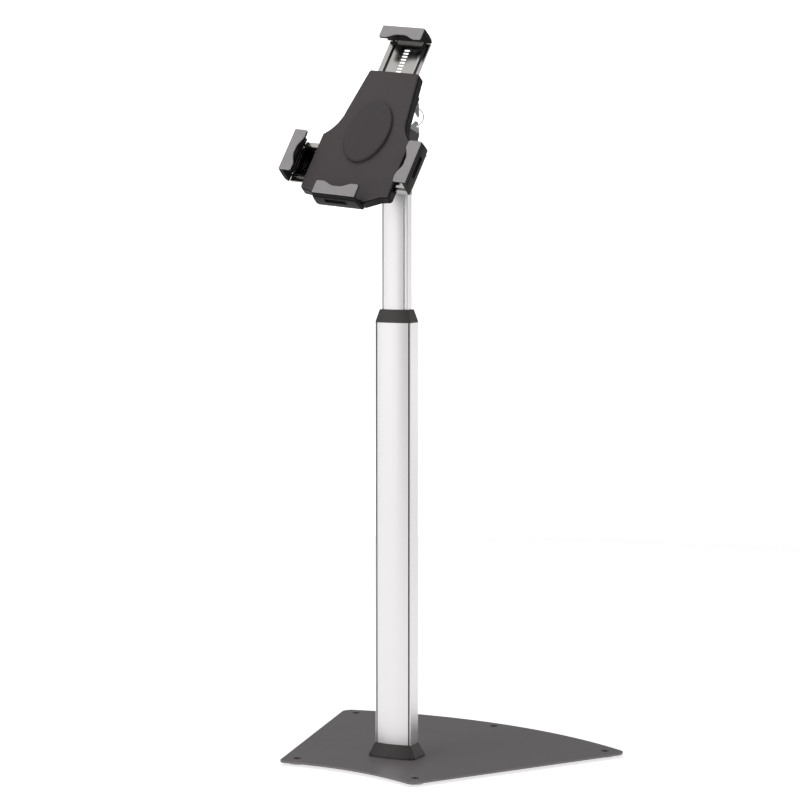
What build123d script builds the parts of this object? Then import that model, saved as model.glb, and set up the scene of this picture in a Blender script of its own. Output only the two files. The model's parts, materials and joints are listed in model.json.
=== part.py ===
from build123d import *
import math
import os

os.makedirs("parts", exist_ok=True)

# Adjustable tablet floor stand, in millimetres and degrees.
# Origin on the floor under the column's axis, +Z up, the base's front towards -Y.
# Each node is written to parts/NODE.step where it stands at rest.

# Fits shared by all pieces
running_gap = 0.05
seat_gap = 0.1
guide_gap = 0.3
free_gap = 0.4
overrun = 1.0

# Shapes of standard parts
hex_sides = 6
quarter_turn = 90
half_turn = 180
full_turn = 360

# Pose at rest
column_turn = 10.3
head_tilt = 34.0
head_turn = -6.5

# Base plate and its glides
plate_thickness = 3.0
base_front_width = 217.0
base_rear_width = 482.0
base_front_reach = 119.0
base_rear_reach = 199.0
base_front_hollow = 17.2
base_back_bulge = 51.5
base_front_radius = 9.0
base_rear_radius = 14.0
glide_height = 4.0
glide_radius = 11.0
glide_front_inset = (10.8, 26.0)
glide_rear_inset = (28.5, 9.5)
glide_back_inset = 17.5
glide_screw_radius = 2.9
glide_screw_head_radius = 5.5
glide_screw_sunk = 0.8
glide_screw_head_depth = 1.6
glide_screw_socket = 2.0
glide_screw_tip = 1.0
pivot_pad_radius = 24.0
pivot_pad_floor = 1.0

# Outer column
column_width = 52.0
column_depth = 23.4
column_bow = 3.4
column_wall = 2.2
column_rim = 1.2
column_groove_width = 2.0
column_groove_depth = 1.5
column_cavity_radius = 4.0
column_top = 592.0

# Column foot, pivot and boot
pivot_washer_thickness = 1.0
pivot_washer_radius = 19.0
pivot_bolt_radius = 5.0
pivot_head_radius = 9.0
pivot_head_height = 3.0
pivot_head_socket = 3.0
pivot_bolt_reach = 24.0
foot_height = 30.0
foot_screw_radius = 2.5
foot_screw_head_radius = 4.5
foot_screw_head_depth = 1.8
foot_screw_length = 12.0
foot_screw_height = 9.0
boot_height = 18.0
boot_flare = 8.3
boot_rim = 2.0
boot_wall = 2.2
boot_radius = 7.0
boot_top_margin = 0.7

# Collar, guide and height clamp
collar_height = 17.4
collar_rim = 1.6
collar_top_margin = 2.2
collar_bore_gap = 0.45
upper_guide_length = 40.0
clamp_drop = 22.0
clamp_insert_radius = 6.0
clamp_insert_flange_radius = 8.0
clamp_insert_flange = 1.5
clamp_stud_radius = 3.0
clamp_shoe_radius = 5.0
clamp_shoe_gap = 0.3
clamp_knob_radius = 12.0
clamp_knob_depth = 13.0
clamp_knob_neck_radius = 7.0
clamp_knob_neck = 2.5
clamp_knob_lobes = 6
clamp_knob_scallop = 4.0
clamp_stud_bite = 9.0

# Inner column, the mast
mast_width = 38.0
mast_depth = 13.0
mast_bow = 2.6
mast_wall = 2.0
mast_rim = 1.5
mast_groove_width = 4.0
mast_groove_depth = 2.2
mast_cavity_radius = 3.0
mast_groove_wall = 1.5
mast_length = 560.0
lower_guide_length = 26.0
lower_guide_foot = 6.0

# Tilt joint on top of the mast
pivot_height = 783.4
pivot_rise = 22.4
mast_top = pivot_height - pivot_rise
yoke_plug_length = 20.0
yoke_flange = 4.6
yoke_flange_margin = 0.4
yoke_band = 3.0
yoke_band_inset = 1.6
yoke_cheek_thickness = 6.0
yoke_radius = 12.0
knuckle_width = 17.0
tilt_bolt_radius = 4.0
tilt_head_radius = 6.5
tilt_head_height = 5.0
tilt_nut_radius = 7.0
tilt_nut_height = 6.0
tilt_washer_radius = 8.0
tilt_washer_thickness = 1.5
tilt_bolt_tip = 2.0

# Arm and turning hub, along the plate's normal
arm_reach = 103.0
arm_height = 20.0
hub_rise = 90.0
hub_radius = 24.0
hub_flange = 5.0
friction_thickness = 2.0
turn_bolt_radius = 4.0
turn_head_radius = 7.0
turn_head_height = 5.0
turn_nut_radius = 7.0
turn_nut_height = 6.0

# Holder body: heights along the plate from its lower corners, depths behind its face
head_top = 188.0
head_top_half = 36.4
neck_foot = 121.0
neck_foot_half = 45.7
neck_hollow = 4.6
shoulder_rise = 83.0
shoulder_half = 65.0
slope_half = 53.0
slope_rise = -1.5
tongue_half = 33.0
tongue_drop = 11.0
head_corner_radius = 3.0
panel_thickness = 3.0
panel_edge_chamfer = 0.7
panel_post_reach = 5.0
shell_depth = 14.5
shell_margin = 1.2
shell_wall = 2.8
shell_rim_chamfer = 0.8
shell_back_chamfer = 2.5
back_floor = 2.4
hub_boss_depth = 18.0
hub_pocket_floor = 4.0
hub_pocket_radius = 10.0
oval_half_width = 31.5
oval_half_length = 47.0
oval_height = 4.0
oval_round = 2.4
oval_rise = 91.5
cover_screw_radius = 1.5
cover_screw_head_radius = 2.8
cover_screw_head_depth = 1.4
cover_post_radius = 3.8
cover_screw_bite = 6.0
cover_screw_places = ((53.0, 81.0), (50.0, 6.6), (37.8, 118.0))

# Claws
claw_length = 66.0
claw_lip_length = 62.0
claw_wall = 5.8
claw_face_foot = 4.0
claw_waist_inset = 1.2
claw_waist_drop = 3.5
claw_toe_inset = 3.6
claw_drop = 6.5
claw_groove_width = 0.8
claw_groove_depth = 0.5
claw_groove_rise = 13.8
lip_rise = 20.2
lip_reach = 18.6
lip_notch = 5.6
lip_notch_share = 0.16
lip_thickness = 2.2
lip_pad_thickness = 1.6
lip_pad_inset = 0.4
lip_corner_radius = 3.0
claw_slot_length = 32.0
claw_slot_height = 7.5
claw_slot_rise = 6.8
top_claw_reach = 246.4
side_claw_reach = 94.6
side_claw_rise = 42.4
bottom_claw_drop = 18.1
bottom_wall_inset = 2.7
bottom_wall_bulge = 3.1
bottom_bulge_top = 12.0
bottom_bulge_low = 2.0
bottom_waist_bulge = 0.5
bottom_waist_drop = 9.2
bottom_toe_inset = 1.7
bottom_drop = 10.2

# Rails
rail_half_width = 30.4
rail_web_half = 21.4
rail_rib_width = 3.7
rail_depth = 8.6
rail_rib_height = 3.0
rail_lip_depth = 2.8
rail_thickness = 1.5
rail_end_inset = 4.4
rail_riser_half = 20.0
rail_riser_inset = 6.1
rail_riser_height = 4.7
rail_tongue_inset = 3.9
rail_gap = 0.4
top_rail_length = 118.4
ladder_pitch = 4.8
ladder_count = 14
ladder_gap = 17.8
ladder_slot_width = 8.2
ladder_slot_height = 3.0
side_rail_foot = 36.0
side_rail_hole_radius = 4.1
side_rail_hole_place = 74.8

# Racks and pinion
tooth_module = 1.25
pinion_teeth = 20
pressure_angle = 20
root_depth_share = 1.25
flank_steps = 4
tooth_backlash = 0.25
rack_height = 5.0
rack_thickness = 3.0
rack_inner_end = 30.0
rack_foot_length = 15.0
pinion_pin_radius = 3.0
pinion_boss_radius = 6.0

# Lock, key and ring
lock_place = (28.2, 161.6)
lock_boss_half = (7.2, 8.5)
lock_boss_depth = 10.0
lock_boss_radius = 4.0
lock_cylinder_radius = 6.5
lock_plug_radius = 4.5
lock_cylinder_proud = 1.5
lock_cam_length = 17.0
lock_cam_radius = 4.0
lock_cam_thickness = 1.5
key_shank_length = 2.5
key_shank_width = 4.0
key_turn = 22.0
key_bow_width = 25.0
key_bow_length = 15.0
key_bow_thickness = 1.6
key_bow_radius = 3.5
key_hole_radius = 2.8
key_hole_margin = 2.2
key_hole_rise = 2.0
ring_radius = 11.8
ring_wire = 0.6
ring_turn = 20.0
ring_lean = 17.0
ring_gap = 1.0
spare_turn = 76.0
spare_lean = 21.0
spare_gap = 0.8
spare_width = 22.5
spare_blade_rise = 4.8
spare_blade_drop = 8.6
spare_blade_thickness = 1.4
spare_top_width = 5.0
spare_top_radius = 1.6
spare_hole_radius = 2.0
spare_hole_offset = 3.3
spare_head_width = 20.5
spare_head_length = 18.0
spare_head_thickness = 3.4
spare_head_radius = 3.0


def named(node, *solids):
    """Write one node, as one solid or as a group of separate solids."""
    pieces = [piece for solid in solids for piece in solid.solids()]
    shape = pieces[0] if len(pieces) == 1 else Compound(pieces)
    export_step(shape, os.path.join("parts", node + ".step"))


def turned_z(angle):
    return Location((0, 0, 0), (0, 0, angle))


def lifted(height):
    return Location((0, 0, height))


def cylinder(radius, low, high, place=(0, 0)):
    """Upright cylinder between two heights."""
    disc = Plane((place[0], place[1], low)) * Circle(radius)
    return extrude(disc, amount=high - low)


def block(low, high):
    """Box between two corners."""
    size = [b - a for a, b in zip(low, high)]
    centre = [(a + b) / 2 for a, b in zip(low, high)]
    return Pos(*centre) * Box(*size)


def bow_at(half_width, bow, across):
    """Height of the bowed face's arc above its chord."""
    radius = (half_width**2 + bow**2) / (2 * bow)
    return bow - radius + math.sqrt(radius**2 - across**2)


def bowed_face(width, depth, bow):
    """Flat section with straight sides and bowed front and back."""
    right, back = width / 2, depth / 2
    outline = Line((right, -back), (right, back))
    outline += ThreePointArc((right, back), (0, back + bow), (-right, back))
    outline += Line((-right, back), (-right, -back))
    outline += ThreePointArc((-right, -back), (0, -back - bow), (right, -back))
    return make_face(outline)


def rounded(face, radius):
    return fillet(face.vertices(), radius)


def grooves(width, depth, bow, rim, groove_width, groove_depth):
    """Four upright grooves, each beside a corner of the bowed section."""
    centre = width / 2 - rim - groove_width / 2
    floor = depth / 2 + bow_at(width / 2, bow, centre) - groove_depth
    far = depth / 2 + bow + overrun
    faces = None
    for side in (-1, 1):
        for end in (-1, 1):
            cut = Pos(side * centre, end * (floor + far) / 2) * Rectangle(groove_width, far - floor)
            faces = cut if faces is None else faces + cut
    return faces


# Sections of the two columns
column_outline = bowed_face(column_width, column_depth, column_bow)
column_cavity_size = (column_width - 2 * column_wall, column_depth - 2 * column_wall)
column_cavity = rounded(bowed_face(*column_cavity_size, column_bow), column_cavity_radius)
column_section = column_outline - column_cavity - grooves(
    column_width, column_depth, column_bow, column_rim, column_groove_width, column_groove_depth
)
mast_outline = bowed_face(mast_width, mast_depth, mast_bow)
mast_cavity_size = (mast_width - 2 * mast_wall, mast_depth - 2 * mast_wall)
mast_grooves = grooves(mast_width, mast_depth, mast_bow, mast_rim, mast_groove_width, mast_groove_depth)


def mast_hollow(margin):
    """The mast's bore, drawn in by a margin, with its corners stepped round the grooves."""
    width, depth = mast_cavity_size
    bore = rounded(bowed_face(width - 2 * margin, depth - 2 * margin, mast_bow), mast_cavity_radius)
    wall = mast_groove_wall + margin
    return bore - grooves(
        mast_width, mast_depth, mast_bow, mast_rim - wall, mast_groove_width + 2 * wall,
        mast_groove_depth + wall
    )


mast_section = mast_outline - mast_hollow(0) - mast_grooves


def grown(width, depth, bow, margin):
    """The bowed outline with the same bow, moved outwards all round."""
    return bowed_face(width + 2 * margin, depth + 2 * margin, bow)


def prism(face, low, high):
    return extrude(lifted(low) * face, amount=high - low)


def column_plug(margin):
    """Section that fills the column's bore but for a margin."""
    width, depth = column_cavity_size
    return rounded(bowed_face(width - 2 * margin, depth - 2 * margin, column_bow), column_cavity_radius)


# Base plate, glides and screws
plate_bottom = glide_height
plate_top = plate_bottom + plate_thickness
glide_places = [
    (side * (base_front_width / 2 - glide_front_inset[0]), glide_front_inset[1] - base_front_reach)
    for side in (-1, 1)
]
glide_places += [
    (side * (base_rear_width / 2 - glide_rear_inset[0]), base_rear_reach - glide_rear_inset[1])
    for side in (-1, 1)
]
glide_places += [(0, base_rear_reach + base_back_bulge - glide_back_inset)]


def base_outline():
    front, rear = base_front_width / 2, base_rear_width / 2
    front_left, front_right = (-front, -base_front_reach), (front, -base_front_reach)
    rear_left, rear_right = (-rear, base_rear_reach), (rear, base_rear_reach)
    outline = ThreePointArc(front_left, (0, base_front_hollow - base_front_reach), front_right)
    outline += Line(front_right, rear_right)
    outline += ThreePointArc(rear_right, (0, base_rear_reach + base_back_bulge), rear_left)
    outline += Line(rear_left, front_left)
    face = make_face(outline)
    ordered = face.vertices().sort_by(Axis.Y)
    face = fillet(ordered[:2], base_front_radius)
    return fillet(face.vertices().sort_by(Axis.Y)[-2:], base_rear_radius)


def screw_head_cone(radius, head_radius, low, high, place):
    """Countersunk head, widest at the top."""
    cone = Solid.make_cone(radius, head_radius, high - low)
    return Pos(place[0], place[1], low) * cone


def build_base():
    plate = prism(base_outline(), plate_bottom, plate_top)
    glides, screws = [], []
    head_top_height = plate_top - glide_screw_sunk
    head_foot_height = head_top_height - glide_screw_head_depth
    for place in glide_places:
        plate -= cylinder(glide_screw_radius + running_gap, plate_bottom - overrun, plate_top, place)
        plate -= cylinder(glide_screw_head_radius + running_gap, head_top_height, plate_top + overrun, place)
        seat = glide_screw_head_radius + running_gap
        plate -= screw_head_cone(
            glide_screw_radius + running_gap, seat, head_foot_height, head_top_height, place
        )
        glide = cylinder(glide_radius, 0, glide_height, place)
        glides.append(glide - cylinder(glide_screw_radius, glide_screw_tip, glide_height + overrun, place))
        screw = cylinder(glide_screw_radius, glide_screw_tip, head_foot_height + seat_gap, place)
        screw += screw_head_cone(
            glide_screw_radius, glide_screw_head_radius, head_foot_height, head_top_height, place
        )
        socket = Pos(place[0], place[1], head_foot_height) * RegularPolygon(glide_screw_socket, hex_sides)
        screws.append(screw - extrude(socket, amount=plate_thickness))
    plate -= cylinder(pivot_bolt_radius + running_gap, plate_bottom - overrun, plate_top + overrun)
    named("base_plate", plate)
    named("floor_glides", *glides)
    named("glide_screws", *screws)
    washer = Circle(pivot_washer_radius) - Circle(pivot_bolt_radius + running_gap)
    named("pivot_washer", prism(washer, plate_top, foot_bottom))
    pad = cylinder(pivot_pad_radius, 0, plate_bottom)
    pad -= cylinder(pivot_head_radius + free_gap, pivot_pad_floor, plate_bottom + overrun)
    named("pivot_pad", pad)


# Column foot, boot and outer column, which turn together on the base
foot_bottom = plate_top + pivot_washer_thickness
foot_top = foot_bottom + foot_height
boot_bottom = plate_top + free_gap
boot_top = plate_top + boot_height


def build_foot():
    bolt = cylinder(pivot_head_radius, plate_bottom - pivot_head_height, plate_bottom)
    bolt += cylinder(pivot_bolt_radius, plate_bottom, foot_bottom + pivot_bolt_reach)
    socket = lifted(plate_bottom - pivot_head_height) * RegularPolygon(pivot_head_socket, hex_sides)
    bolt -= extrude(socket, amount=pivot_head_height)
    plug = prism(column_plug(seat_gap), foot_bottom, foot_top)
    plug -= cylinder(pivot_bolt_radius, foot_bottom - overrun, foot_bottom + pivot_bolt_reach + overrun)
    column = prism(column_section, foot_bottom, column_top)
    screw_height = foot_bottom + foot_screw_height
    screws = []
    for side in (-1, 1):
        outward = Plane((side * column_width / 2, 0, screw_height), z_dir=(side, 0, 0))
        head = outward.location * Pos(0, 0, -foot_screw_head_depth)
        head = head * Solid.make_cone(foot_screw_radius, foot_screw_head_radius, foot_screw_head_depth)
        shank = extrude(outward * Circle(foot_screw_radius), amount=-foot_screw_length)
        screw = head + shank
        screws.append(screw)
        plug -= screw
        column -= screw
    clamp = clamp_frame()
    column -= extrude(clamp * Circle(clamp_insert_radius), amount=column_depth / 2, both=True)
    named("pivot_bolt", turned * bolt)
    named("column_foot", turned * plug)
    named("foot_screws", *[turned * screw for screw in screws])
    named("outer_column", turned * column)


def build_boot():
    low = rounded(grown(column_width, column_depth, column_bow, boot_flare), boot_radius)
    high = rounded(grown(column_width, column_depth, column_bow, boot_top_margin), boot_top_margin)
    skirt = prism(low, boot_bottom, boot_bottom + boot_rim)
    skirt += loft([lifted(boot_bottom + boot_rim) * low, lifted(boot_top) * high])
    hollow_low = rounded(
        grown(column_width, column_depth, column_bow, boot_flare - boot_wall), boot_radius - boot_wall
    )
    hollow_high = rounded(grown(column_width, column_depth, column_bow, seat_gap), boot_top_margin)
    hollow = loft([lifted(boot_bottom - overrun) * hollow_low, lifted(boot_top - boot_wall) * hollow_high])
    skirt -= hollow
    skirt -= prism(grown(column_width, column_depth, column_bow, seat_gap), boot_bottom, boot_top + overrun)
    named("column_boot", turned * skirt)


# Collar with its guide, and the height clamp at the back
collar_top = column_top + collar_height
guide_bottom = column_top - upper_guide_length
clamp_height = column_top - clamp_drop
column_back = column_depth / 2 + column_bow
mast_back = mast_depth / 2 + mast_bow


def clamp_frame():
    """Plane on the column's back face, looking out along the clamp's screw."""
    return Plane((0, column_back, clamp_height), x_dir=(1, 0, 0), z_dir=(0, 1, 0))


def build_collar():
    low = column_outline
    high = grown(mast_width, mast_depth, mast_bow, collar_top_margin)
    collar = prism(low, column_top, column_top + collar_rim)
    collar += loft([lifted(column_top + collar_rim) * low, lifted(collar_top) * high])
    bore = grown(mast_width, mast_depth, mast_bow, collar_bore_gap)
    collar -= prism(bore, column_top, collar_top + overrun)
    guide_section = column_plug(seat_gap) - grown(mast_width, mast_depth, mast_bow, guide_gap)
    guide = prism(guide_section, guide_bottom, column_top)
    clamp = clamp_frame()
    window = clamp_shoe_radius + guide_gap
    guide -= extrude(clamp * Circle(window), amount=-column_back)
    shoe_back = column_back - column_wall - seat_gap
    shoe_front = mast_back + clamp_shoe_gap
    shoe_plane = Plane((0, shoe_front, clamp_height), x_dir=(1, 0, 0), z_dir=(0, 1, 0))
    shoe_depth = (shoe_back - shoe_front) / 2
    shoe = extrude(shoe_plane * Circle(clamp_shoe_radius), amount=shoe_depth)
    insert_depth = column_wall + seat_gap
    insert = extrude(clamp * Circle(clamp_insert_radius), amount=-insert_depth)
    insert += extrude(clamp * Circle(clamp_insert_flange_radius), amount=clamp_insert_flange)
    bore = clamp_stud_radius + running_gap
    insert -= extrude(clamp * Circle(bore), amount=column_wall + clamp_insert_flange + overrun, both=True)
    named("column_collar", turned * collar)
    named("upper_guide", turned * guide)
    named("clamp_shoe", turned * shoe)
    named("clamp_insert", turned * insert)
    build_knob(clamp, shoe_front + shoe_depth)


def build_knob(clamp, shoe_face):
    stud_inner = column_back - shoe_face - running_gap
    neck_start = clamp_insert_flange + free_gap
    knob_start = neck_start + clamp_knob_neck
    knob = extrude(clamp.offset(neck_start) * Circle(clamp_knob_neck_radius), amount=clamp_knob_neck)
    lobes = Circle(clamp_knob_radius)
    ring = clamp_knob_radius + clamp_knob_scallop / 2
    for step in range(clamp_knob_lobes):
        lobe_turn = Rot(0, 0, step * full_turn / clamp_knob_lobes)
        lobes -= lobe_turn * Pos(ring, 0) * Circle(clamp_knob_scallop)
    grip = extrude(clamp.offset(knob_start) * lobes, amount=clamp_knob_depth)
    knob += grip
    stud_outer = knob_start + clamp_stud_bite
    knob -= extrude(clamp * Circle(clamp_stud_radius), amount=stud_outer)
    stud = extrude(clamp.offset(-stud_inner) * Circle(clamp_stud_radius), amount=stud_inner + stud_outer)
    named("clamp_knob", turned * knob)
    named("clamp_stud", turned * stud)


# Mast, its lower guide and the tilt joint's yoke
mast_bottom = mast_top - mast_length


def build_mast():
    mast = prism(mast_section, mast_bottom, mast_top)
    guide = prism(column_plug(guide_gap), mast_bottom - lower_guide_foot, mast_bottom + lower_guide_length)
    socket = grown(mast_width, mast_depth, mast_bow, seat_gap)
    guide -= prism(socket, mast_bottom, mast_bottom + lower_guide_length + overrun)
    named("inner_column", turned * mast)
    named("lower_guide", turned * guide)
    flange_top = mast_top + yoke_flange
    yoke = prism(mast_hollow(seat_gap), mast_top - yoke_plug_length, mast_top)
    yoke += prism(grown(mast_width, mast_depth, mast_bow, yoke_flange_margin), mast_top, flange_top)
    band = grown(mast_width, mast_depth, mast_bow, -yoke_band_inset)
    yoke += prism(band, flange_top, flange_top + yoke_band)
    for side in (-1, 1):
        inner = knuckle_width / 2 + free_gap
        cheek_plane = Plane((side * inner, 0, pivot_height), x_dir=(0, 1, 0), z_dir=(side, 0, 0))
        cheek = extrude(cheek_plane * Circle(yoke_radius), amount=yoke_cheek_thickness)
        low_x, high_x = sorted((side * inner, side * (inner + yoke_cheek_thickness)))
        web_half = mast_back - yoke_band_inset
        cheek += block((low_x, -web_half, flange_top), (high_x, web_half, pivot_height))
        yoke += cheek
    bore = Plane((0, 0, pivot_height), z_dir=(1, 0, 0)) * Circle(tilt_bolt_radius + running_gap)
    yoke -= extrude(bore, amount=mast_width, both=True)
    named("tilt_yoke", turned * yoke)
    build_tilt_bolt(knuckle_width / 2 + free_gap + yoke_cheek_thickness)


def build_tilt_bolt(cheek_face):
    """Bolt across the yoke, with its head on the right and its nut on the left."""
    washers = []
    for side in (-1, 1):
        face = Plane((side * cheek_face, 0, pivot_height), z_dir=(side, 0, 0))
        ring = Circle(tilt_washer_radius) - Circle(tilt_bolt_radius + running_gap)
        washers.append(extrude(face * ring, amount=tilt_washer_thickness))
    seat = cheek_face + tilt_washer_thickness
    right = Plane((seat, 0, pivot_height), z_dir=(1, 0, 0))
    bolt = extrude(right * RegularPolygon(tilt_head_radius, hex_sides), amount=tilt_head_height)
    shank = 2 * seat + tilt_nut_height + tilt_bolt_tip
    bolt += extrude(right * Circle(tilt_bolt_radius), amount=-shank)
    left = Plane((-seat, 0, pivot_height), z_dir=(-1, 0, 0))
    nut = RegularPolygon(tilt_nut_radius, hex_sides) - Circle(tilt_bolt_radius)
    named("tilt_washers", *[turned * washer for washer in washers])
    named("tilt_bolt", turned * bolt)
    named("tilt_nut", turned * extrude(left * nut, amount=tilt_nut_height))


# Frames of the head. In the arm frame Z is the plate's normal and its origin is the tilt pivot.
turned = turned_z(column_turn)
arm_frame = turned * Location((0, 0, pivot_height), (quarter_turn - head_tilt, 0, 0))
holder_frame = arm_frame * Location((0, 0, arm_reach), (0, 0, head_turn)) * Location((0, -hub_rise, 0))
hub_place = (0, hub_rise)
back_depth = panel_thickness + shell_depth
boss_end = back_depth + hub_boss_depth
friction_end = boss_end + friction_thickness
flange_end = friction_end + hub_flange


def build_neck():
    """Knuckle, arm and round flange, built in the arm frame."""
    flange_top = arm_reach - friction_end
    flange_bottom = arm_reach - flange_end
    neck = extrude(Plane.YZ * Circle(yoke_radius - free_gap), amount=knuckle_width / 2, both=True)
    arm_half = arm_height / 2
    neck += block((-knuckle_width / 2, -arm_half, 0), (knuckle_width / 2, arm_half, flange_bottom))
    neck += cylinder(hub_radius, flange_bottom, flange_top)
    neck -= extrude(Plane.YZ * Circle(tilt_bolt_radius + running_gap), amount=knuckle_width, both=True)
    neck -= cylinder(turn_bolt_radius, flange_bottom - turn_nut_height - overrun, flange_top + overrun)
    nut_well = turn_nut_height + turn_nut_radius
    well_half = turn_nut_radius + free_gap
    well_low = (-knuckle_width, -well_half, flange_bottom - nut_well)
    neck -= block(well_low, (knuckle_width, well_half, flange_bottom))
    nut = prism(RegularPolygon(turn_nut_radius, hex_sides), flange_bottom - turn_nut_height, flange_bottom)
    nut -= cylinder(turn_bolt_radius, flange_bottom - nut_well, flange_bottom + overrun)
    head_seat = arm_reach - boss_end + hub_pocket_floor
    bolt = cylinder(turn_bolt_radius, flange_bottom - turn_nut_height - running_gap, head_seat)
    bolt += cylinder(turn_head_radius, head_seat, head_seat + turn_head_height)
    socket = lifted(head_seat + turn_head_height / 2) * RegularPolygon(turn_bolt_radius, hex_sides)
    bolt -= extrude(socket, amount=turn_head_height)
    disc = Circle(hub_radius) - Circle(turn_bolt_radius + running_gap)
    friction = prism(disc, arm_reach - friction_end, arm_reach - boss_end)
    named("tilt_neck", arm_frame * neck)
    named("turn_nut", arm_frame * nut)
    named("turn_bolt", arm_frame * bolt)
    named("friction_disc", arm_frame * friction)


def bent_point(start, end, hollow):
    """Middle point of an arc between two points, bent inwards to the plate."""
    across, along = end[0] - start[0], end[1] - start[1]
    length = math.hypot(across, along)
    middle = ((start[0] + end[0]) / 2, (start[1] + end[1]) / 2)
    return (middle[0] - hollow * abs(along) / length, middle[1] - hollow * abs(across) / length)


def holder_outline():
    """Outline of the holder's body: a neck, round hollows, shoulders and a tongue below."""
    neck, shoulder = (neck_foot_half, neck_foot), (shoulder_half, shoulder_rise)
    middle = bent_point(neck, shoulder, neck_hollow)
    outline = Line((-head_top_half, head_top), (head_top_half, head_top))
    outline += Line((head_top_half, head_top), neck)
    outline += ThreePointArc(neck, middle, shoulder)
    right = [shoulder, (shoulder_half, 0), (slope_half, slope_rise), (tongue_half, -tongue_drop)]
    left = [(-x, y) for x, y in reversed(right)]
    outline += Polyline(*right, *left)
    outline += ThreePointArc((-shoulder[0], shoulder[1]), (-middle[0], middle[1]), (-neck[0], neck[1]))
    outline += Line((-neck[0], neck[1]), (-head_top_half, head_top))
    face = make_face(outline)
    corners = face.vertices().group_by(Axis.Y)[-1]
    corners += [v for v in face.vertices() if abs(v.Y) < running_gap and abs(v.X) > slope_half]
    return fillet(corners, head_corner_radius)


def shell_outline(margin):
    return offset(holder_outline(), amount=margin, kind=Kind.INTERSECTION)


def screw_places():
    return [(side * x, y) for x, y in cover_screw_places for side in (-1, 1)]


def passage(half_width, inner, outer, turn):
    """Window in the shell's wall that one rail slides through."""
    low = -rail_depth - rail_lip_depth - rail_gap
    high = -rail_depth + rail_rib_height + rail_gap
    window = block((-half_width, inner, low), (half_width, outer, high))
    return Rot(0, 0, turn) * window


def build_holder():
    """Front panel, back cover with its hub and lock boss, and the screws between them."""
    plate = prism(holder_outline(), -panel_thickness, 0)
    plate = chamfer(plate.faces().sort_by(Axis.Z)[-1].edges(), panel_edge_chamfer)
    cover = prism(shell_outline(shell_margin), -back_depth, -panel_thickness)
    cover = chamfer(cover.faces().sort_by(Axis.Z)[-1].edges(), shell_rim_chamfer)
    cover = chamfer(cover.faces().sort_by(Axis.Z)[0].edges(), shell_back_chamfer)
    inside = shell_outline(shell_margin - shell_wall)
    cover -= prism(inside, -back_depth + back_floor, -panel_thickness + overrun)
    cover += cylinder(hub_radius, -boss_end, -back_depth + back_floor, hub_place)
    cover -= cylinder(hub_pocket_radius, -boss_end + hub_pocket_floor, -panel_thickness, hub_place)
    cover -= cylinder(turn_bolt_radius + running_gap, -boss_end - overrun, -back_depth, hub_place)
    lock_low, lock_high = -back_depth - lock_boss_depth, -back_depth + back_floor
    lock_size = (2 * lock_boss_half[0], 2 * lock_boss_half[1])
    cover += prism(Pos(*lock_place) * RectangleRounded(*lock_size, lock_boss_radius), lock_low, -back_depth)
    cover -= cylinder(lock_cylinder_radius, lock_low - overrun, lock_high + overrun, lock_place)
    screws = []
    post_end = -panel_thickness - panel_post_reach
    for place in screw_places():
        plate += cylinder(cover_post_radius, post_end, -panel_thickness, place)
        cover += cylinder(cover_post_radius, -back_depth, post_end, place)
        bore = cover_screw_radius + seat_gap
        cover -= cylinder(bore, -back_depth - overrun, post_end + overrun, place)
        head_end = -back_depth + cover_screw_head_depth
        cover -= cylinder(cover_screw_head_radius + seat_gap, -back_depth - overrun, head_end, place)
        screw = cylinder(cover_screw_radius, -back_depth, post_end + cover_screw_bite, place)
        plate -= screw
        screws.append(screw + cylinder(cover_screw_head_radius, -back_depth, head_end, place))
    half = rail_half_width + rail_gap
    cover -= passage(half, head_top - shell_wall, head_top + shell_wall, 0)
    for turn in (-quarter_turn, quarter_turn):
        side = passage(half, shoulder_half - shell_wall, shoulder_half + shell_wall, turn)
        cover -= Pos(0, side_claw_rise) * side
    pin_place = (0, side_claw_rise)
    plate += cylinder(pinion_boss_radius, gear_top + rail_gap, -panel_thickness, pin_place)
    plate -= cylinder(pinion_pin_radius, gear_top, -panel_thickness, pin_place)
    cover += cylinder(pinion_boss_radius, -back_depth, gear_low - rail_gap, pin_place)
    cover -= cylinder(pinion_pin_radius, -back_depth + back_floor, gear_low, pin_place)
    named("front_plate", holder_frame * plate)
    named("back_cover", holder_frame * cover)
    named("cover_screws", *[holder_frame * screw for screw in screws])
    oval = Pos(0, oval_rise) * Ellipse(oval_half_width, oval_half_length)
    pad = prism(oval, 0, oval_height)
    pad = fillet(pad.edges().group_by(Axis.Z)[-1], oval_round)
    named("oval_pad", holder_frame * pad)


# Claws are built with their outer wall on the plane Y = 0, reaching towards -Y
wall_top = lip_rise - lip_pad_thickness


def wall_profile():
    """Outer side of a sliding claw's wall, from its top down to its toe."""
    waist, toe = (-claw_waist_inset, -claw_waist_drop), (-claw_toe_inset, -claw_drop)
    return [(0, wall_top), (0, claw_face_foot), waist, toe]


def bottom_profile():
    """Outer side of the fixed claw's wall, which bulges and hangs lower."""
    bulge = [(bottom_wall_bulge, bottom_bulge_top), (bottom_wall_bulge, -bottom_bulge_low)]
    waist, toe = (bottom_waist_bulge, -bottom_waist_drop), (-bottom_toe_inset, -bottom_drop)
    return [(0, wall_top), *bulge, waist, toe]


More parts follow.
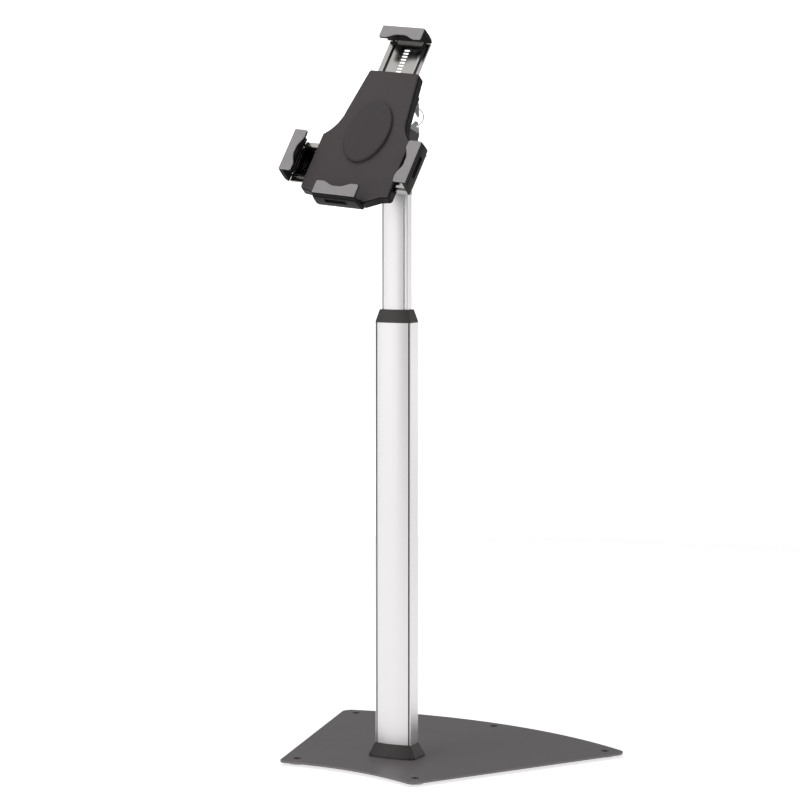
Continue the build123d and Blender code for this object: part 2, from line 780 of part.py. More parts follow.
def lip_outline(length, reach, notch, inset):
    """Lip seen from the front, with two tabs and a shallow notch between them."""
    half = length / 2 - inset
    dip = lip_notch_share * length
    inner, hollow = -reach + inset, -reach + notch + inset
    corner = lip_corner_radius
    start = Line((-half, -inset), (half, -inset))
    edge = start + Line((half, -inset), (half, inner + corner))
    edge += Line((half, inner + corner), (half - corner, inner))
    crest = (half - corner - dip) / 2 + dip
    right_side = [(half - corner, inner), (crest, inner), (dip / 2, hollow)]
    left_side = [(-x, y) for x, y in reversed(right_side)]
    edge += Spline(*right_side, (0, hollow), *left_side, tangents=((-1, 0), (-1, 0)))
    edge += Line((corner - half, inner), (-half, inner + corner))
    edge += Line((-half, inner + corner), (-half, -inset))
    return make_face(edge)


def outer_side(profile, height):
    """How far out the wall's outer side stands at a height."""
    for (upper_out, upper), (lower_out, lower) in zip(profile, profile[1:]):
        if lower <= height <= upper:
            return upper_out + (lower_out - upper_out) * (upper - height) / (upper - lower)
    return 0


def claw_body(profile, inset):
    """Wall and lip in one moulding, with slanted ends, a long slot and a fine groove."""
    lip_low = wall_top - lip_thickness
    half = claw_length / 2
    points = profile + [(-inset, profile[-1][1]), (-inset, wall_top)]
    section = Plane.YZ * make_face(Polyline(*points, close=True))
    wall = extrude(section, amount=half, both=True)
    lip = lip_outline(claw_length, lip_reach, lip_notch, 0)
    body = wall + prism(lip, lip_low, wall_top)
    outside = profile[1][0] + overrun
    slot_low = claw_slot_rise - claw_slot_height / 2
    slot_half, slot_high = claw_slot_length / 2, slot_low + claw_slot_height
    body -= block((-slot_half, -inset - overrun, slot_low), (slot_half, outside, slot_high))
    groove_low = claw_groove_rise - claw_groove_width / 2
    groove_high = groove_low + claw_groove_width
    floor = outer_side(profile, groove_low) - claw_groove_depth
    body -= block((-claw_length, floor, groove_low), (claw_length, outside, groove_high))
    return body - end_cuts(profile[-1][1])


def end_cuts(low):
    """Two slanted slabs that take the claw's ends from wall length to lip length."""
    slope = (claw_length - claw_lip_length) / 2
    far = claw_length
    cuts = None
    for side in (-1, 1):
        points = [(side * claw_length / 2, low), (side * (claw_length / 2 - slope), lip_rise)]
        points += [(side * far, lip_rise), (side * far, low)]
        face = Plane.XZ * make_face(Polyline(*points, close=True))
        slab = extrude(face, amount=lip_reach + overrun, both=True)
        cuts = slab if cuts is None else cuts + slab
    return cuts


def claw_pad():
    lip = lip_outline(claw_length, lip_reach, lip_notch, lip_pad_inset)
    return prism(lip, wall_top, lip_rise) - end_cuts(-claw_drop)


def rail_section(low, high):
    """Strip along Y: a web, a raised rib along each side, and flanges with lips turned down."""
    web_top, web_under = -rail_depth, -rail_depth - rail_thickness
    rib_top, rib_under = web_top + rail_rib_height, web_under + rail_rib_height
    rib_inner, rib_outer = rail_web_half, rail_web_half + rail_rib_width
    strips = [(0, rib_inner + rail_thickness, web_under, web_top)]
    strips += [(rib_inner, rib_inner + rail_thickness, web_under, rib_top)]
    strips += [(rib_inner, rib_outer, rib_under, rib_top)]
    strips += [(rib_outer - rail_thickness, rib_outer, web_under, rib_top)]
    strips += [(rib_outer - rail_thickness, rail_half_width, web_under, web_top)]
    strips += [(rail_half_width - rail_thickness, rail_half_width, web_top - rail_lip_depth, web_top)]
    section = None
    for inner, outer, under, top in strips:
        for side in (-1, 1):
            place = Pos(side * (inner + outer) / 2, (under + top) / 2)
            strip = place * Rectangle(outer - inner, top - under)
            section = strip if section is None else section + strip
    return extrude(Plane.XZ.offset(-high) * section, amount=high - low)


def claw_frames():
    """Where each claw's outer wall stands, in the holder's frame."""
    return {
        "top": Location((0, top_claw_reach, 0)),
        "left": Location((-side_claw_reach, side_claw_rise, 0), (0, 0, quarter_turn)),
        "right": Location((side_claw_reach, side_claw_rise, 0), (0, 0, -quarter_turn)),
        "bottom": Location((0, -bottom_claw_drop, 0), (0, 0, half_turn)),
    }


def rail_end():
    """Upturned end of a rail, with the tongue that holds in the claw's wall."""
    half = rail_riser_half
    low, high = -rail_depth - rail_thickness, -rail_depth + rail_riser_height
    back = -rail_riser_inset + rail_thickness
    riser = block((-half, -rail_riser_inset, low), (half, back, high))
    return riser + block((-half, -rail_riser_inset, high - rail_thickness), (half, -rail_tongue_inset, high))


def rail_notch():
    """Room that the claw's wall leaves for the ribs, the riser and the tongue of its rail."""
    inner, low = -claw_wall - overrun, -claw_drop - overrun
    rib_half = rail_web_half + rail_rib_width + seat_gap
    rib_high = -rail_depth + rail_rib_height + seat_gap
    notch = block((-rib_half, inner, low), (rib_half, -rail_end_inset + seat_gap, rib_high))
    half, high = rail_riser_half + seat_gap, -rail_depth + rail_riser_height + seat_gap
    notch += block((-half, inner, low), (half, -rail_riser_inset + rail_thickness + seat_gap, high))
    tongue_low = high - rail_thickness - 2 * seat_gap
    return notch + block((-half, inner, tongue_low), (half, -rail_tongue_inset + seat_gap, high))


def bottom_foot():
    """Block that joins the bottom claw's wall to the tongue of the holder's body."""
    half = tongue_half - shell_wall
    reach = tongue_drop + shell_margin - bottom_claw_drop
    return block((-half, reach, -bottom_drop), (half, -bottom_toe_inset, -panel_thickness))


def build_claws():
    sliding, pad = claw_body(wall_profile(), claw_wall) - rail_notch(), claw_pad()
    fixed = claw_body(bottom_profile(), bottom_wall_inset) + bottom_foot()
    for name, frame in claw_frames().items():
        claw = fixed if name == "bottom" else sliding
        named(name + "_claw", holder_frame * frame * claw)
        named(name + "_pad", holder_frame * frame * pad)


def build_top_rail():
    rail = rail_section(top_claw_reach - top_rail_length, top_claw_reach - rail_end_inset)
    rail += Pos(0, top_claw_reach) * rail_end()
    for step in range(ladder_count):
        middle = top_claw_reach - ladder_gap - step * ladder_pitch
        low = -rail_depth - rail_thickness - overrun
        half, rise = ladder_slot_width / 2, ladder_slot_height / 2
        rail -= block((-half, middle - rise, low), (half, middle + rise, 0))
    named("top_rail", holder_frame * rail)


# Racks hang under the side rails, one above and one below the pinion
pitch_radius = tooth_module * pinion_teeth / 2
rack_top = -rail_depth - rail_thickness
gear_top = rack_top - rail_gap
gear_low = gear_top - rack_thickness
pressure_slope = math.tan(math.radians(pressure_angle))
tooth_root = root_depth_share * tooth_module


def involute_tooth(radius_base, radius_tip, radius_root, half_angle, steps):
    """Points of one tooth about the X axis, from root to tip and back."""
    def roll(radius):
        return math.sqrt(max((radius / radius_base) ** 2 - 1, 0))

    def spread(radius):
        return roll(radius) - math.atan(roll(radius))

    points = []
    start = max(radius_base, radius_root)
    for index in range(steps + 1):
        radius = start + (radius_tip - start) * index / steps
        angle = half_angle - spread(radius)
        points.append((radius, angle))
    side = [(radius_root, half_angle)] if radius_root < radius_base else []
    side += points
    return side


def pinion_face():
    base_radius = pitch_radius * math.cos(math.radians(pressure_angle))
    tip, root = pitch_radius + tooth_module, pitch_radius - tooth_root
    pitch_roll = math.sqrt((pitch_radius / base_radius) ** 2 - 1)
    pitch_spread = pitch_roll - math.atan(pitch_roll)
    thickness = math.pi * tooth_module / 2 - tooth_backlash
    half_angle = thickness / 2 / pitch_radius + pitch_spread
    flank = involute_tooth(base_radius, tip, root, half_angle, flank_steps)
    outline = []
    for tooth in range(pinion_teeth):
        centre = 2 * math.pi * tooth / pinion_teeth + math.pi / 2
        rising = [(r, centre - a) for r, a in flank]
        falling = [(r, centre + a) for r, a in reversed(flank)]
        outline += rising + falling
    points = [(r * math.cos(a), r * math.sin(a)) for r, a in outline]
    return make_face(Polyline(*points, close=True))


def rack_face(start, end):
    """Straight rack along X with its teeth towards -Y, pitch line on Y = 0."""
    pitch = math.pi * tooth_module
    thickness = pitch / 2 - tooth_backlash
    tip, root = -tooth_module, tooth_root
    low_half = thickness / 2 - tooth_module * pressure_slope
    high_half = thickness / 2 + tooth_root * pressure_slope
    face = Pos((start + end) / 2, root + rack_height / 2) * Rectangle(end - start, rack_height)
    first = math.ceil((start + pitch / 2) / pitch)
    last = math.floor((end - pitch / 2) / pitch)
    for index in range(first, last):
        centre = index * pitch + pitch / 2
        points = [(centre - high_half, root + overrun), (centre - high_half, root)]
        points += [(centre - low_half, tip), (centre + low_half, tip)]
        points += [(centre + high_half, root), (centre + high_half, root + overrun)]
        face += make_face(Polyline(*points, close=True))
    return face


def build_side_rails():
    straight = rail_section(rail_end_inset - side_claw_reach, -side_rail_foot)
    straight += Location((0, -side_claw_reach, 0), (0, 0, half_turn)) * rail_end()
    hole = cylinder(side_rail_hole_radius, rack_top - overrun, 0, (0, -side_rail_hole_place))
    straight = Rot(0, 0, -quarter_turn) * (straight - hole)
    rack = rack_face(-side_rail_foot - rack_height, rack_inner_end)
    rack_low = Pos(0, pitch_radius) * rack
    bar = prism(rack_low, gear_low, gear_top)
    root = tooth_root + pitch_radius
    foot_low = (-side_rail_foot - rack_foot_length, root, gear_low)
    foot = block(foot_low, (-side_rail_foot, root + rack_height, rack_top))
    left = straight + bar + foot
    left = Pos(0, side_claw_rise) * left
    right = Location((0, 2 * side_claw_rise, 0), (0, 0, half_turn)) * left
    named("left_rail", holder_frame * left)
    named("right_rail", holder_frame * right)


def build_pinion():
    place = Pos(0, side_claw_rise)
    pin_place = (0, side_claw_rise)
    gear = prism(place * pinion_face(), gear_low, gear_top)
    gear -= cylinder(pinion_pin_radius + running_gap, gear_low - overrun, gear_top + overrun, pin_place)
    pin = cylinder(pinion_pin_radius, -back_depth + back_floor, -panel_thickness, pin_place)
    named("sync_pinion", holder_frame * gear)
    named("pinion_pin", holder_frame * pin)


def build_lock():
    """Lock cylinder, plug with its cam, and the key that stands in it."""
    outer = -back_depth - lock_boss_depth - lock_cylinder_proud
    inner = -back_depth + back_floor
    cylinder_body = cylinder(lock_cylinder_radius, outer, inner, lock_place)
    cylinder_body -= cylinder(lock_plug_radius + running_gap, outer - overrun, inner + overrun, lock_place)
    cam_top = inner + free_gap + lock_cam_thickness
    plug = cylinder(lock_plug_radius, outer, inner + free_gap, lock_place)
    cam_end = lock_place[0] - lock_cam_length + lock_cam_radius
    cam_face = Pos(*lock_place) * Circle(lock_plug_radius)
    cam_face += Pos(cam_end, lock_place[1]) * Circle(lock_cam_radius)
    middle = (cam_end + lock_place[0]) / 2
    cam_face += Pos(middle, lock_place[1]) * Rectangle(lock_place[0] - cam_end, 2 * lock_cam_radius)
    cam = prism(cam_face, inner + free_gap, cam_top)
    shank_end = outer - key_shank_length
    bow_end = shank_end - key_bow_length
    half_width, half_thickness = key_shank_width / 2, key_bow_thickness / 2
    shank = block((-half_thickness, -half_width, shank_end), (half_thickness, half_width, outer))
    bow_plane = Plane((0, 0, (shank_end + bow_end) / 2), x_dir=(0, 1, 0), z_dir=(1, 0, 0))
    bow = bow_plane * RectangleRounded(key_bow_width, key_bow_length, key_bow_radius)
    key = shank + extrude(bow, amount=half_thickness, both=True)
    hole_depth = bow_end + key_hole_margin + key_hole_radius
    hole_plane = Plane((0, key_hole_rise, hole_depth), x_dir=(0, 1, 0), z_dir=(1, 0, 0))
    key -= extrude(hole_plane * Circle(key_hole_radius), amount=key_bow_thickness, both=True)
    key_frame = holder_frame * Location((*lock_place, 0), (0, 0, key_turn))
    named("lock_cylinder", holder_frame * cylinder_body)
    named("lock_plug", holder_frame * plug)
    named("lock_cam", holder_frame * cam)
    named("lock_key", key_frame * key)
    return (key_frame * Pos(0, key_hole_rise, hole_depth)).position


def build_key_ring(hole):
    """Ring that hangs in the key's hole, and the spare key that hangs in the ring."""
    support = hole - Vector(0, 0, key_hole_radius - ring_wire - ring_gap)
    facing = Location(tuple(support), (0, 0, column_turn + ring_turn))
    lean = math.radians(ring_lean)
    side, drop = ring_radius * math.sin(lean), ring_radius * math.cos(lean)
    ring = facing * Pos(-side, 0, -drop) * Rot(quarter_turn, 0, 0) * Torus(ring_radius, ring_wire)
    named("key_ring", ring)
    spare_slack = spare_hole_radius - ring_wire - spare_gap
    spare_hole = support - Vector(0, 0, 2 * drop + spare_slack)
    spare = Location(tuple(spare_hole), (0, 0, column_turn + spare_turn)) * Rot(0, spare_lean, 0)
    low, high, middle = -spare_blade_drop, spare_blade_rise, -spare_hole_offset
    half, narrow = spare_width / 2, spare_top_width / 2
    corners = [(middle - narrow, high), (middle + narrow, high), (middle + half, low), (middle - half, low)]
    blade_face = make_face(Polyline(*corners, close=True))
    blade_face = fillet(blade_face.vertices().group_by(Axis.Y)[-1], spare_top_radius)
    blade = extrude(Plane.XZ * blade_face, amount=spare_blade_thickness / 2, both=True)
    blade -= extrude(Plane.XZ * Circle(spare_hole_radius), amount=spare_blade_thickness, both=True)
    head_face = Pos(middle, low - spare_head_length / 2) * RectangleRounded(
        spare_head_width, spare_head_length, spare_head_radius
    )
    head = extrude(Plane.XZ * head_face, amount=spare_head_thickness / 2, both=True)
    named("spare_key_blade", spare * blade)
    named("spare_key_head", spare * head)


build_base()
build_foot()
build_boot()
build_collar()
build_mast()
build_neck()
build_holder()
build_claws()
build_top_rail()
build_side_rails()
build_pinion()
build_key_ring(build_lock())
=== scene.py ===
import bmesh
import bpy
import json
import math
from mathutils import Matrix, Vector


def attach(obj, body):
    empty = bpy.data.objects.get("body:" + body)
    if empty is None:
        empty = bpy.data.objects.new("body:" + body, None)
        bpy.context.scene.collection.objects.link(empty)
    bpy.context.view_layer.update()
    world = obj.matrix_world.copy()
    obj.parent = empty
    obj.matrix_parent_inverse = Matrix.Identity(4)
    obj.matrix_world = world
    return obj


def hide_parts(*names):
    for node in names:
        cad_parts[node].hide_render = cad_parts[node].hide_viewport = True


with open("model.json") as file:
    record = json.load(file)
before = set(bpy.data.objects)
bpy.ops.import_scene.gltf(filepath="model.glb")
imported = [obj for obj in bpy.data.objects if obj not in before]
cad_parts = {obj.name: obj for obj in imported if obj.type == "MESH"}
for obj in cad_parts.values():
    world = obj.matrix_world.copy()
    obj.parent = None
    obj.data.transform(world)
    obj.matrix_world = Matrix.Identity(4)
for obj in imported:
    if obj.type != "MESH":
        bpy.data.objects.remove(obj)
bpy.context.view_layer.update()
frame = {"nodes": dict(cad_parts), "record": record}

# Camera, found from the straight edges in the photograph
camera_distance = 3.4647
camera_height = 0.7896
camera_azimuth = 36.27
camera_yaw = 36.20
camera_pitch = 4.97
camera_lens = 117.33
sensor_width = 36.0
level_look = 90

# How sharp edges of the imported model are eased
weld_distance = 0.000005
flat_angle = math.radians(0.5)
sharp_angle = math.radians(28)
smooth_angle = math.radians(34)
ease_segments = 2
ease_profile = 0.5

# Corner grooves of the outer column, where shade is painted: how far it is turned, and the bands in
# which their faces lie
column_turn = math.radians(10.3)
groove_across = (0.0227, 0.0249)
groove_through = (0.0106, 0.0121)

# Noise behind the finishes: how fine it is, and which part of its range is used
tone_detail = 3.0
tone_roughness = 0.55
tone_range = (0.25, 0.75)
wear_detail = 4.0
wear_roughness = 0.6
wear_range = (0.3, 0.7)
grain_detail = 2.0
grain_roughness = 0.5

# How a finish is stretched: not at all, or along an extrusion
even = (1.0, 1.0, 1.0)
drawn = (1.0, 1.0, 0.02)
die_lined = (1.0, 1.0, 0.01)


def linear(code):
    """Linear colour from an sRGB hex code."""
    shares = [int(code[place:place + 2], 16) / 255 for place in (0, 2, 4)]
    return [s / 12.92 if s <= 0.04045 else ((s + 0.055) / 1.055) ** 2.4 for s in shares] + [1.0]


def add_node(tree, kind, settings=None, values=None, links=None):
    """Adds a node with its settings, its plain values and its links from other nodes' outputs."""
    node = tree.nodes.new(kind)
    for name, value in (settings or {}).items():
        setattr(node, name, value)
    for name, value in (values or {}).items():
        node.inputs[name].default_value = value
    for name, output in (links or {}).items():
        tree.links.new(output, node.inputs[name])
    return node


def material(name, base, roughness, metallic=0.0, specular=0.5):
    """Material with its shader set to plain values."""
    made = bpy.data.materials.new(name)
    made.use_nodes = True
    shader = made.node_tree.nodes["Principled BSDF"]
    shader.inputs["Base Color"].default_value = linear(base)
    shader.inputs["Roughness"].default_value = roughness
    shader.inputs["Metallic"].default_value = metallic
    shader.inputs["Specular IOR Level"].default_value = specular
    return made


def noise(tree, cell, stretch, detail, roughness):
    """Noise over cells of a real size in metres, stretched along the object's own axes."""
    place = add_node(tree, "ShaderNodeTexCoord")
    scaled = add_node(
        tree, "ShaderNodeMapping",
        values={"Scale": stretch},
        links={"Vector": place.outputs["Object"]},
    )
    return add_node(
        tree, "ShaderNodeTexNoise",
        values={"Scale": 1 / cell, "Detail": detail, "Roughness": roughness},
        links={"Vector": scaled.outputs["Vector"]},
    )


def mottled(made, base, other, cell, stretch=even):
    """Lets the base colour drift between two near tones over cells of a real size in metres."""
    tree = made.node_tree
    cloud = noise(tree, cell, stretch, tone_detail, tone_roughness)
    tones = add_node(tree, "ShaderNodeValToRGB", links={"Fac": cloud.outputs["Fac"]})
    for element, position, tone in zip(tones.color_ramp.elements, tone_range, (base, other)):
        element.position = position
        element.color = linear(tone)
    tree.links.new(tones.outputs["Color"], tree.nodes["Principled BSDF"].inputs["Base Color"])


def worn(made, low, high, cell, stretch=even):
    """Lets the roughness drift between two values over cells of a real size in metres."""
    tree = made.node_tree
    cloud = noise(tree, cell, stretch, wear_detail, wear_roughness)
    spread = add_node(
        tree, "ShaderNodeMapRange",
        values={"From Min": wear_range[0], "From Max": wear_range[1], "To Min": low, "To Max": high},
        links={"Value": cloud.outputs["Fac"]},
    )
    tree.links.new(spread.outputs["Result"], tree.nodes["Principled BSDF"].inputs["Roughness"])


def grained(made, cell, height, strength, stretch=even):
    """Raises a fine grain of a real size and height, in metres, on the surface."""
    tree = made.node_tree
    grain = noise(tree, cell, stretch, grain_detail, grain_roughness)
    bump = add_node(
        tree, "ShaderNodeBump",
        values={"Strength": strength, "Distance": height},
        links={"Height": grain.outputs["Fac"]},
    )
    tree.links.new(bump.outputs["Normal"], tree.nodes["Principled BSDF"].inputs["Normal"])


# Powder-coated steel: an even warm grey, smooth enough to show the boot as a soft dark shape
coated_steel = material("powder_coated_steel", "7B7677", 0.36, specular=0.3)
mottled(coated_steel, "7A7576", "7D7879", cell=0.03)
worn(coated_steel, 0.34, 0.38, cell=0.06)
grained(coated_steel, cell=0.0016, height=0.00003, strength=0.3)

# Anodised aluminium extrusion: bright silver with a soft sheen and die lines that run along it
anodised = material("satin_anodised_aluminium", "E3E1E2", 0.3, metallic=1.0)
mottled(anodised, "E2E0E1", "E4E2E3", cell=0.02, stretch=drawn)
worn(anodised, 0.29, 0.31, cell=0.006, stretch=drawn)
grained(anodised, cell=0.003, height=0.000005, strength=0.1, stretch=die_lined)

# The same aluminium inside the corner grooves: rougher, and coloured darker than the metal is as
# painted shade, for the little light that falls there
groove_shade_metal = material("painted_shade_groove_aluminium", "7E7C7D", 0.5, metallic=1.0)
mottled(groove_shade_metal, "7C7A7B", "828081", cell=0.02, stretch=drawn)
worn(groove_shade_metal, 0.46, 0.54, cell=0.006, stretch=drawn)
grained(groove_shade_metal, cell=0.003, height=0.000005, strength=0.1, stretch=die_lined)

# Injection-moulded ABS: dark warm grey, matt from a fine spark-eroded grain
moulded_abs = material("moulded_abs", "494344", 0.5, specular=0.25)
mottled(moulded_abs, "484243", "4B4546", cell=0.02)
worn(moulded_abs, 0.48, 0.56, cell=0.01)
grained(moulded_abs, cell=0.0007, height=0.00004, strength=0.4)

# Smooth ABS of the claws and the back cover: the same moulding, near black, with a faint sheen
glossy_abs = material("glossy_moulded_abs", "201E1F", 0.36, specular=0.06)
mottled(glossy_abs, "1F1D1E", "222021", cell=0.01)
worn(glossy_abs, 0.33, 0.4, cell=0.008)
grained(glossy_abs, cell=0.0015, height=0.00002, strength=0.3)

# Glass-filled nylon of boot and collar: dark grey, with a sheen that draws the rounded corners
nylon = material("glass_filled_nylon", "403D3C", 0.34, specular=0.5)
mottled(nylon, "3F3C3B", "423F3E", cell=0.012)
worn(nylon, 0.3, 0.38, cell=0.01)
grained(nylon, cell=0.0009, height=0.00003, strength=0.4)

# Acetal for the sliding bushes and glides: milky white, slightly waxy
acetal = material("acetal", "DCDCD6", 0.4, specular=0.5)
mottled(acetal, "D9D9D3", "E0E0DA", cell=0.008)
worn(acetal, 0.36, 0.46, cell=0.006)
grained(acetal, cell=0.001, height=0.00002, strength=0.4)

# Zinc-plated steel: cool grey metal with the faint cloud of the plating bath
zinc = material("zinc_plated_steel", "A9ABAD", 0.34, metallic=1.0)
mottled(zinc, "A4A6A8", "B1B3B5", cell=0.003)
worn(zinc, 0.27, 0.42, cell=0.002)
grained(zinc, cell=0.0006, height=0.00002, strength=0.4)

# Black oxide on the socket screws: black with a small oily shine
black_oxide = material("black_oxide_steel", "161617", 0.3, specular=0.6)
mottled(black_oxide, "141415", "1A1A1B", cell=0.002)
worn(black_oxide, 0.26, 0.36, cell=0.002)
grained(black_oxide, cell=0.0005, height=0.00002, strength=0.4)

# Silicone grip pads: light grey, matt
silicone = material("silicone_rubber", "A5A1A2", 0.6, specular=0.25)
mottled(silicone, "A39FA0", "A7A3A4", cell=0.01)
worn(silicone, 0.56, 0.66, cell=0.008)
grained(silicone, cell=0.0008, height=0.00003, strength=0.4)

# Rubber skin of the oval pad: the same dark grey as the plate, with a duller face
moulded_rubber = material("moulded_rubber", "484344", 0.6, specular=0.22)
mottled(moulded_rubber, "474243", "494445", cell=0.006)
worn(moulded_rubber, 0.56, 0.66, cell=0.006)
grained(moulded_rubber, cell=0.0006, height=0.00005, strength=0.5)

# Rails: steel with bright nickel plating, which mirrors its surroundings
black_nickel = material("black_nickel_steel", "93918F", 0.2, metallic=1.0)
mottled(black_nickel, "918F8D", "959391", cell=0.02)
worn(black_nickel, 0.18, 0.23, cell=0.01)
grained(black_nickel, cell=0.004, height=0.00001, strength=0.2)

# Moulded polycarbonate cap of the mast: light grey with a fine grain
polycarbonate = material("moulded_polycarbonate", "B4B4B4", 0.42, specular=0.5)
mottled(polycarbonate, "B1B1B1", "B9B9B9", cell=0.01)
worn(polycarbonate, 0.38, 0.48, cell=0.008)
grained(polycarbonate, cell=0.0008, height=0.00004, strength=0.4)

# Die-cast zinc arm with black powder coat
coated_casting = material("powder_coated_casting", "222121", 0.4, specular=0.4)
mottled(coated_casting, "202020", "252424", cell=0.01)
worn(coated_casting, 0.36, 0.46, cell=0.01)
grained(coated_casting, cell=0.001, height=0.00006, strength=0.5)

# Turned brass of the lock's plug: dull gold under handling marks
brass = material("turned_brass", "B79F62", 0.36, metallic=1.0)
mottled(brass, "B2995C", "BEA76C", cell=0.002)
worn(brass, 0.3, 0.45, cell=0.0015)
grained(brass, cell=0.0004, height=0.00001, strength=0.4)

finishes = {
    "base_paint": coated_steel,
    "glide": acetal,
    "screw": black_oxide,
    "bolt": zinc,
    "black_plastic": nylon,
    "dark_plastic": moulded_abs,
    "silver": anodised,
    "cast_grey": polycarbonate,
    "neck_paint": coated_casting,
    "pad_rubber": moulded_rubber,
    "grip_rubber": silicone,
    "rail_steel": black_nickel,
    "brass": brass,
}
slots = {part["node"]: part["material_slot"] for part in frame["record"]["subparts"]}
polished_nodes = ("top_claw", "left_claw", "right_claw", "bottom_claw", "back_cover")
looks = {node: glossy_abs if node in polished_nodes else finishes[slot] for node, slot in slots.items()}
for node, carried in frame["nodes"].items():
    carried.data.materials.clear()
    carried.data.materials.append(looks[node])

bodies = {
    node: body
    for body, nodes in frame["record"]["behaviour"]["bodies"].items()
    for node in nodes
}


def eased(node, width):
    """Copy of a node's solid with its sharp edges rounded over, so that they catch the light."""
    shape = bmesh.new()
    shape.from_mesh(frame["nodes"][node].data)
    bmesh.ops.remove_doubles(shape, verts=shape.verts, dist=weld_distance)
    bmesh.ops.dissolve_limit(shape, angle_limit=flat_angle, verts=shape.verts, edges=shape.edges)
    sharp = [edge for edge in shape.edges if edge.is_manifold and edge.calc_face_angle() > sharp_angle]
    bmesh.ops.bevel(
        shape, geom=sharp, offset=width, offset_type="OFFSET", segments=ease_segments,
        profile=ease_profile, affect="EDGES", material=-1, clamp_overlap=True,
    )
    mesh = bpy.data.meshes.new(node + "_eased")
    shape.to_mesh(mesh)
    shape.free()
    mesh.polygons.foreach_set("use_smooth", [True] * len(mesh.polygons))
    mesh.set_sharp_from_angle(angle=smooth_angle)
    piece = bpy.data.objects.new(node + "_eased", mesh)
    bpy.context.scene.collection.objects.link(piece)
    level = piece.modifiers.new("level_faces", "WEIGHTED_NORMAL")
    level.keep_sharp = True
    piece.data.materials.append(looks[node])
    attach(piece, bodies[node])
    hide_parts(node)
    return piece


eased_nodes = {
    "base_plate": 0.0006,
    "column_boot": 0.0008,
    "column_collar": 0.0006,
    "front_plate": 0.0004,
    "back_cover": 0.0005,
    "oval_pad": 0.0004,
    "bottom_claw": 0.0005,
    "top_claw": 0.0005,
    "left_claw": 0.0005,
    "right_claw": 0.0005,
    "bottom_pad": 0.0009,
    "top_pad": 0.0009,
    "left_pad": 0.0009,
    "right_pad": 0.0009,
    "top_rail": 0.0003,
    "left_rail": 0.0003,
    "right_rail": 0.0003,
    "tilt_yoke": 0.0006,
    "tilt_neck": 0.0006,
    "outer_column": 0.0004,
    "inner_column": 0.0004,
    "spare_key_head": 0.0006,
    "lock_key": 0.0002,
}
pieces = {node: eased(node, width) for node, width in eased_nodes.items()}


def paint_groove_shade(piece, across, through):
    """Paints shade into an extrusion's corner grooves, in bands of width and depth, with the darker
    groove aluminium.
    """
    groove_index = len(piece.data.materials)
    piece.data.materials.append(groove_shade_metal)
    unturned = Matrix.Rotation(-column_turn, 3, "Z")
    for face in piece.data.polygons:
        centre = unturned @ face.center
        if across[0] < abs(centre.x) < across[1] and through[0] < abs(centre.y) < through[1]:
            face.material_index = groove_index


# Painted shade: the outer column's corner grooves get the darker aluminium
paint_groove_shade(pieces["outer_column"], groove_across, groove_through)


# Studio: a glowing floor, a backdrop that only the camera sees, and soft boxes round the stand
floor_half = 40.0
inner_floor_radius = 2.2
backdrop_radius = 14.0
backdrop_height = 12.0
backdrop_lift = 0.0005
backdrop_segments = 64
backdrop_strength = 1.05
floor_glow = 0.62
room_strength = 0.22
studio_white = "F8F8F8"
studio_roughness = 0.7
studio_specular = 0.1
light_white = "FFFFFF"
soft_boxes = {
    "top_box": {
        "place": (-0.6, -0.5, 3.2), "target": (0, 0, 0.4), "width": 3.0, "height": 3.0, "power": 40,
    },
    "front_box": {
        "place": (-1.2, -3.0, 1.3), "target": (0, 0, 0.6), "width": 2.4, "height": 2.4, "power": 14,
    },
    "corner_box": {
        "place": (2.3, -0.1, 2.0), "target": (0, 0, 0.4), "width": 0.8, "height": 0.8, "power": 4,
    },
    "side_box": {
        "place": (0.95, 2.5, 0.6), "target": (0, 0, 0.5), "width": 0.6, "height": 0.9, "power": 1.4,
    },
}


def soft_box(name, place, target, width, height, power):
    """Soft box of a width and height, aimed at a point."""
    lamp = bpy.data.lights.new(name, "AREA")
    lamp.shape = "RECTANGLE"
    lamp.size = width
    lamp.size_y = height
    lamp.energy = power
    source = bpy.data.objects.new(name, lamp)
    source.location = place
    source.rotation_euler = (Vector(target) - Vector(place)).to_track_quat("-Z", "Y").to_euler()
    bpy.context.scene.collection.objects.link(source)


def staged(name, shape, finish):
    """Piece of the studio, made from a bmesh and kept out of the part."""
    mesh = bpy.data.meshes.new(name)
    shape.to_mesh(mesh)
    shape.free()
    piece = bpy.data.objects.new(name, mesh)
    bpy.context.scene.collection.objects.link(piece)
    piece.data.materials.append(finish)
    return piece


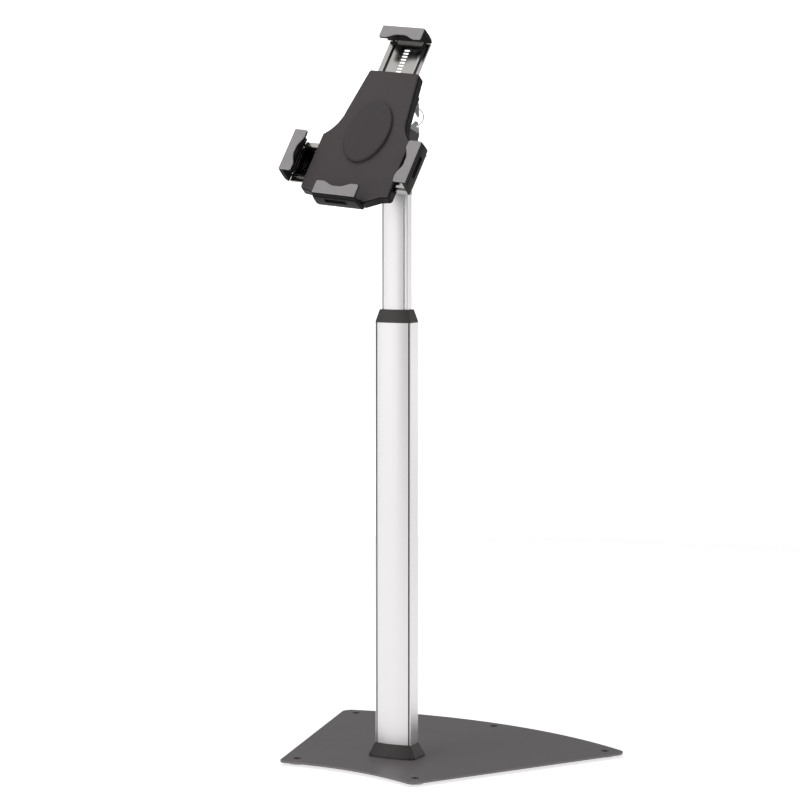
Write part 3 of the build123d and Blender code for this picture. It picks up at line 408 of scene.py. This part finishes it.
def glowing(name, strength):
    """White studio surface that gives light of its own."""
    made = material(name, studio_white, studio_roughness, specular=studio_specular)
    shader = made.node_tree.nodes["Principled BSDF"]
    shader.inputs["Emission Color"].default_value = linear(light_white)
    shader.inputs["Emission Strength"].default_value = strength
    return made


def set_stage():
    """Pale floor, backdrop, dim room and soft boxes."""
    floor = bmesh.new()
    bmesh.ops.create_grid(floor, x_segments=1, y_segments=1, size=floor_half)
    staged("floor", floor, glowing("lit_floor", floor_glow))
    backdrop = bmesh.new()
    ring = bmesh.ops.create_circle(backdrop, segments=backdrop_segments, radius=inner_floor_radius)
    bmesh.ops.translate(backdrop, vec=(0, 0, backdrop_lift), verts=ring["verts"])
    for reach, rise in ((backdrop_radius / inner_floor_radius, 0), (1, backdrop_height)):
        rim = [edge for edge in backdrop.edges if edge.is_boundary or edge.is_wire]
        if rise:
            rim = [edge for edge in rim if edge.verts[0].co.length > inner_floor_radius + backdrop_lift]
        spread = bmesh.ops.extrude_edge_only(backdrop, edges=rim)
        outer = [item for item in spread["geom"] if isinstance(item, bmesh.types.BMVert)]
        bmesh.ops.scale(backdrop, vec=(reach, reach, 1), verts=outer)
        bmesh.ops.translate(backdrop, vec=(0, 0, rise), verts=outer)
    screen = staged("backdrop", backdrop, glowing("lit_backdrop", backdrop_strength))
    screen.visible_glossy = False
    screen.visible_diffuse = False
    screen.visible_shadow = False
    world = bpy.data.worlds.new("dim_room")
    world.use_nodes = True
    room = world.node_tree.nodes["Background"]
    room.inputs["Color"].default_value = linear(light_white)
    room.inputs["Strength"].default_value = room_strength
    bpy.context.scene.world = world
    bpy.context.scene.view_settings.view_transform = "Standard"
    for name, box in soft_boxes.items():
        soft_box(name, **box)


def set_camera():
    """Camera at the photograph's place and angle."""
    lens = bpy.data.cameras.new("camera")
    lens.lens = camera_lens
    lens.sensor_width = sensor_width
    camera = bpy.data.objects.new("camera", lens)
    azimuth = math.radians(camera_azimuth)
    camera.location = (
        camera_distance * math.sin(azimuth),
        -camera_distance * math.cos(azimuth),
        camera_height,
    )
    camera.rotation_euler = (math.radians(level_look - camera_pitch), 0, math.radians(camera_yaw))
    bpy.context.scene.collection.objects.link(camera)
    bpy.context.scene.camera = camera


set_stage()
set_camera()
